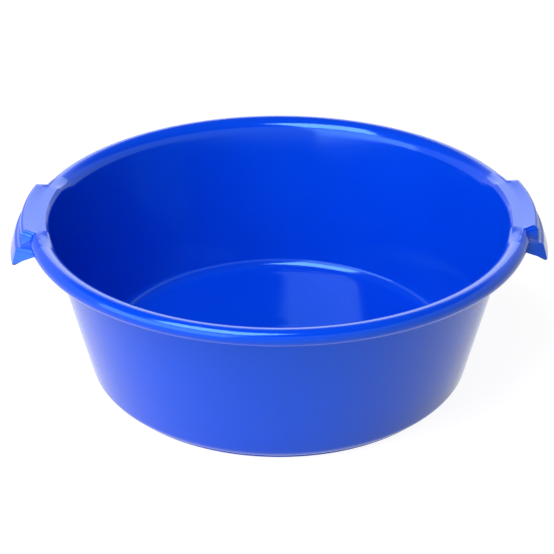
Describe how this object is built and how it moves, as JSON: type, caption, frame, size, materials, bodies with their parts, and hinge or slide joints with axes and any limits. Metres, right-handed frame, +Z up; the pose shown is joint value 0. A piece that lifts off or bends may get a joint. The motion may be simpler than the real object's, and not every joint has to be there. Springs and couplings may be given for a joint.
{
  "type": "washing up bowl",
  "caption": "Round flared plastic washing up bowl with a rolled rim, a foot ring and a dished grip with a turned down lip at each side.",
  "frame": {"origin": "centre of the base, on the surface that the foot ring stands on", "axes": "+Z up through the middle of the mouth, +X towards the right grip, -Y towards the viewer of the picture"},
  "size_m": [0.4046, 0.3766, 0.1333],
  "materials": {
    "bowl_plastic": "glossy injection moulded polypropylene, strong blue",
    "handle_plastic": "the same glossy blue polypropylene as the bowl, moulded in one with it"
  },
  "bodies": {
    "root": {"bowl": "bowl_plastic", "left_handle": "handle_plastic", "right_handle": "handle_plastic"}
  },
  "joints": []
}
